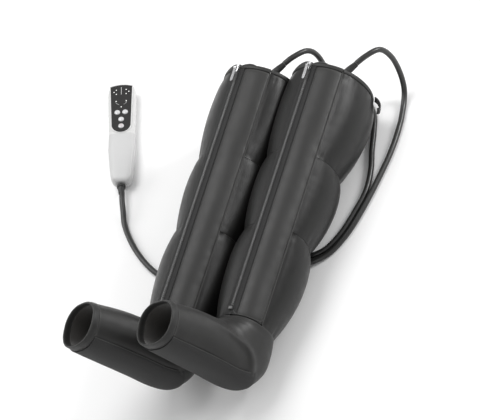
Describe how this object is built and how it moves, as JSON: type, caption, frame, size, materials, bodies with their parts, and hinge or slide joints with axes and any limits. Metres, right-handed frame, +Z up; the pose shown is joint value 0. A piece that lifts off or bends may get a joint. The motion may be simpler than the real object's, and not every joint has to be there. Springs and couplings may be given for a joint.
{
  "type": "pair of compression boots",
  "caption": "Pair of leg and foot compression boots with segmented air chambers, zipped front panels, open toes and air hoses to a hand controller, lying on a table.",
  "frame": {"origin": "on the table, centred under the boots and the controller", "axes": "+Z up, +Y along the legs from the heels to the rims, +X across the legs, away from the controller"},
  "size_m": [0.4647, 0.5687, 0.2021],
  "materials": {
    "battery": "foil wrapped",
    "binding": "woven binding, matte",
    "board": "laminate",
    "button": "gloss",
    "case": "satin gloss",
    "chain": "moulded zip teeth",
    "clear": "translucent",
    "cover": "smooth coated fabric, satin",
    "lining": "matte knitted lining",
    "metal": "polished",
    "panel": "smooth coated fabric, satin",
    "plate": "gloss",
    "rubber": "soft moulded, satin",
    "sole": "ribbed non-slip fabric",
    "tape": "woven zip tape, matte"
  },
  "bodies": {
    "boots": {"air_pump": "metal", "battery": "battery", "button_mat": "rubber", "case_screw_1": "metal", "case_screw_2": "metal", "charging_socket": "metal", "circuit_board": "board", "controller_face_plate": "plate", "controller_front_housing": "case", "controller_hose": "rubber", "controller_rear_housing": "case", "far_body_zip_tape": "tape", "far_foot_upper": "cover", "far_hang_loop": "binding", "far_hose": "rubber", "far_hose_relief": "rubber", "far_leg_sleeve": "lining", "far_lower_chamber": "cover", "far_middle_chamber": "cover", "far_rim_binding": "binding", "far_sole_skin": "sole", "far_toe_band": "binding", "far_upper_chamber": "cover", "far_zip_chain": "chain", "far_zip_stop": "metal", "hose_gland": "rubber", "hose_splitter": "rubber", "light_guide": "clear", "near_body_zip_tape": "tape", "near_foot_upper": "cover", "near_hang_loop": "binding", "near_hose": "rubber", "near_hose_relief": "rubber", "near_leg_sleeve": "lining", "near_lower_chamber": "cover", "near_middle_chamber": "cover", "near_rim_binding": "binding", "near_sole_skin": "sole", "near_toe_band": "binding", "near_upper_chamber": "cover", "near_zip_chain": "chain", "near_zip_stop": "metal", "valve_block": "rubber"},
    "near_panel": {"near_front_panel": "panel", "near_panel_binding": "binding", "near_panel_zip_tape": "tape"},
    "near_slider": {"near_zip_slider": "metal"},
    "near_tab": {"near_pull_tab": "metal"},
    "far_panel": {"far_front_panel": "panel", "far_panel_binding": "binding", "far_panel_zip_tape": "tape"},
    "far_slider": {"far_zip_slider": "metal"},
    "far_tab": {"far_pull_tab": "metal"},
    "mode_button": {"mode_button": "button"},
    "level_button": {"level_button": "button"},
    "set_button": {"set_button": "button"},
    "power_button": {"power_button": "button"}
  },
  "joints": [
    {"name": "near_panel_hinge", "type": "hinge", "parent": "boots", "child": "near_panel", "pos_m": [0.18667, -0.14817, 0.08054], "axis": [0.0024, 0.9964, 0.0849], "range_deg": [0, 95]},
    {"name": "near_slider_slide", "type": "slide", "parent": "boots", "child": "near_slider", "axis": [0.0085, -0.9979, -0.0648], "range_m": [0, 0.3673]},
    {"name": "near_tab_hinge", "type": "hinge", "parent": "near_slider", "child": "near_tab", "pos_m": [0.1414, 0.23835, 0.1314], "axis": [-0.9848, 0.0028, -0.1736], "range_deg": [0, 150]},
    {"name": "far_panel_hinge", "type": "hinge", "parent": "boots", "child": "far_panel", "pos_m": [0.08284, -0.15817, 0.08396], "axis": [-0.0048, 0.9964, 0.0848], "range_deg": [0, 95]},
    {"name": "far_slider_slide", "type": "slide", "parent": "boots", "child": "far_slider", "axis": [0.0135, -0.9979, -0.0636], "range_m": [0, 0.3673]},
    {"name": "far_tab_hinge", "type": "hinge", "parent": "far_slider", "child": "far_tab", "pos_m": [0.03316, 0.22835, 0.12984], "axis": [-0.9613, 0.0045, -0.2756], "range_deg": [0, 150]},
    {"name": "mode_button_press", "type": "slide", "parent": "boots", "child": "mode_button", "axis": [-0.2266, -0.0847, -0.9703], "range_m": [0, 0.001], "stiffness_N_per_m": 400, "springref_m": -0.0015},
    {"name": "level_button_press", "type": "slide", "parent": "boots", "child": "level_button", "axis": [-0.2266, -0.0847, -0.9703], "range_m": [0, 0.001], "stiffness_N_per_m": 400, "springref_m": -0.0015},
    {"name": "set_button_press", "type": "slide", "parent": "boots", "child": "set_button", "axis": [-0.2266, -0.0847, -0.9703], "range_m": [0, 0.001], "stiffness_N_per_m": 400, "springref_m": -0.0015},
    {"name": "power_button_press", "type": "slide", "parent": "boots", "child": "power_button", "axis": [-0.2266, -0.0847, -0.9703], "range_m": [0, 0.001], "stiffness_N_per_m": 400, "springref_m": -0.0015}
  ],
  "couplings": [
    {"joint": "near_slider_slide", "follows": "near_panel_hinge", "m_per_rad": 0.22152},
    {"joint": "far_slider_slide", "follows": "far_panel_hinge", "m_per_rad": 0.22152}
  ]
}
